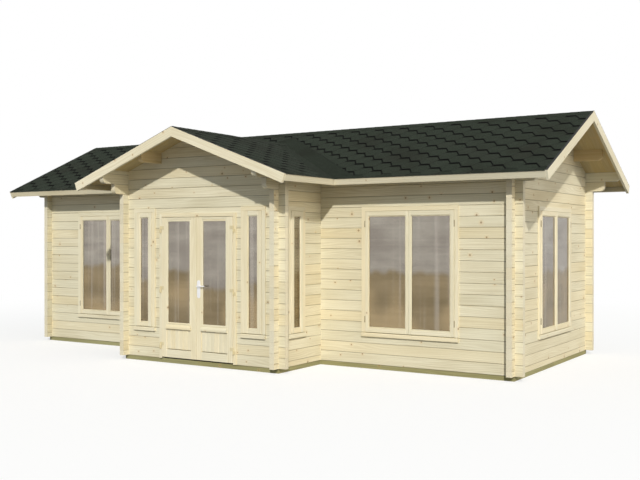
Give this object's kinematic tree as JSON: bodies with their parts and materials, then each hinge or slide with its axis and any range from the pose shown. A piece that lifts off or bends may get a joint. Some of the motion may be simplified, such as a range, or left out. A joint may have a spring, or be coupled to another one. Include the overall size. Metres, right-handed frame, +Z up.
{
  "type": "log cabin",
  "caption": "Log cabin with crossed log corners, a shingled ridge roof, an entrance bay under its own gable, glazed double doors and casement windows.",
  "frame": {"origin": "on the ground below the middle of the main room", "axes": "+X to the right along the main ridge, seen from the entrance; +Y from the entrance to the back; +Z up"},
  "size_m": [9, 4.87, 3.3244],
  "materials": {
    "log_wood": "matte",
    "trim_wood": "matte",
    "joinery": "matte",
    "roof_boards": "matte",
    "floor_boards": "matte",
    "impregnated_wood": "matte",
    "shingles": "matte",
    "glass": "polished",
    "steel": "satin"
  },
  "bodies": {
    "cabin": {"bay_bargeboards": "trim_wood", "bay_fascias": "trim_wood", "bay_floor": "floor_boards", "bay_front_left": "log_wood", "bay_front_right": "log_wood", "bay_gable": "log_wood", "bay_purlins": "log_wood", "bay_wall_left": "log_wood", "bay_wall_right": "log_wood", "bay_window_frames": "joinery", "bay_window_glass": "glass", "bay_window_sashes": "joinery", "door_frame": "joinery", "end_wall_left": "log_wood", "end_wall_right": "log_wood", "end_window_frames": "joinery", "end_window_glass": "glass", "end_window_sashes": "joinery", "foundation_beams": "impregnated_wood", "foundation_joists": "impregnated_wood", "front_wall_left": "log_wood", "front_wall_right": "log_wood", "front_window_frames": "joinery", "front_window_glass": "glass", "front_window_sashes": "joinery", "hinge_pins": "steel", "main_bargeboards": "trim_wood", "main_fascias": "trim_wood", "main_floor": "floor_boards", "main_purlins": "log_wood", "rear_wall": "log_wood", "roof_boards_bay_left": "roof_boards", "roof_boards_bay_right": "roof_boards", "roof_boards_front_left": "roof_boards", "roof_boards_front_right": "roof_boards", "roof_boards_rear": "roof_boards", "roof_cover_bay_left": "shingles", "roof_cover_bay_right": "shingles", "roof_cover_front_left": "shingles", "roof_cover_front_right": "shingles", "roof_cover_rear": "shingles", "threshold": "joinery"},
    "door_leaf_left": {"door_left": "joinery", "door_glass_left": "glass", "hinge_leaves_left": "steel"},
    "door_leaf_right": {"door_right": "joinery", "door_glass_right": "glass", "hinge_leaves_right": "steel", "door_handle": "steel"}
  },
  "joints": [
    {"name": "door_left_hinge", "type": "hinge", "parent": "cabin", "child": "door_leaf_left", "pos_m": [-0.62, -2.51, 0.99], "axis": [0, 0, -1], "range_deg": [0, 110]},
    {"name": "door_right_hinge", "type": "hinge", "parent": "cabin", "child": "door_leaf_right", "pos_m": [0.62, -2.51, 0.99], "axis": [0, 0, 1], "range_deg": [0, 110]}
  ]
}
